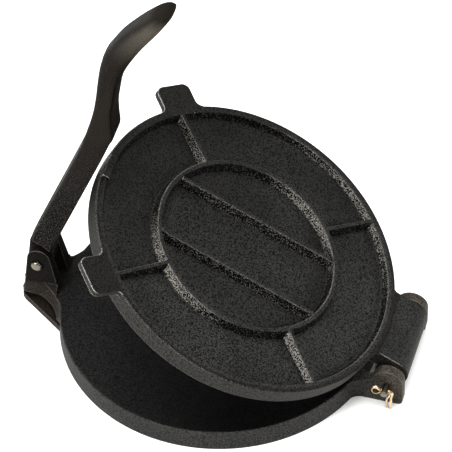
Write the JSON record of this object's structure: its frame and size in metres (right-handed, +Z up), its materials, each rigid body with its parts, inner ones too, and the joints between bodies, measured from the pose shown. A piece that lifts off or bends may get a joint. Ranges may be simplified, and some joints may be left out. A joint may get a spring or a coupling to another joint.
{
  "type": "tortilla press",
  "caption": "Round cast-iron press: a base with a hinged, ribbed upper plate, and an upright pivoting lever that leans over the plate to press dough flat.",
  "frame": {"origin": "centre of the round base, on the table; the hinge's barrel and the yoke's foot stand out equally far on both sides of it", "axes": "+X from the lever's yoke to the plate's hinge, +Y along the two pins away from the split pin on the plate's hinge, +Z up"},
  "size_m": [0.2568, 0.2066, 0.2782],
  "materials": {
    "base_iron": "black sand-cast iron with a fine satin grain",
    "plate_iron": "black sand-cast iron with a fine satin grain",
    "lever_iron": "black sand-cast iron, smoother at the grip",
    "pin_steel": "bright steel",
    "split_pin_brass": "pale brass-coloured plating over bright wire"
  },
  "bodies": {
    "base": {"base": "base_iron", "lever_pin": "pin_steel", "lever_cotter": "split_pin_brass", "hinge_pin": "pin_steel", "hinge_cotter": "split_pin_brass"},
    "plate": {"upper_plate": "plate_iron"},
    "lever": {"lever": "lever_iron"}
  },
  "joints": [
    {"name": "plate_hinge", "type": "hinge", "parent": "base", "child": "plate", "pos_m": [0.1177, 0, 0.0155], "axis": [0, 1, 0], "range_deg": [-27, 151]},
    {"name": "lever_pivot", "type": "hinge", "parent": "base", "child": "lever", "pos_m": [-0.117, 0, 0.035], "axis": [0, 1, 0], "range_deg": [-110, 0]}
  ]
}
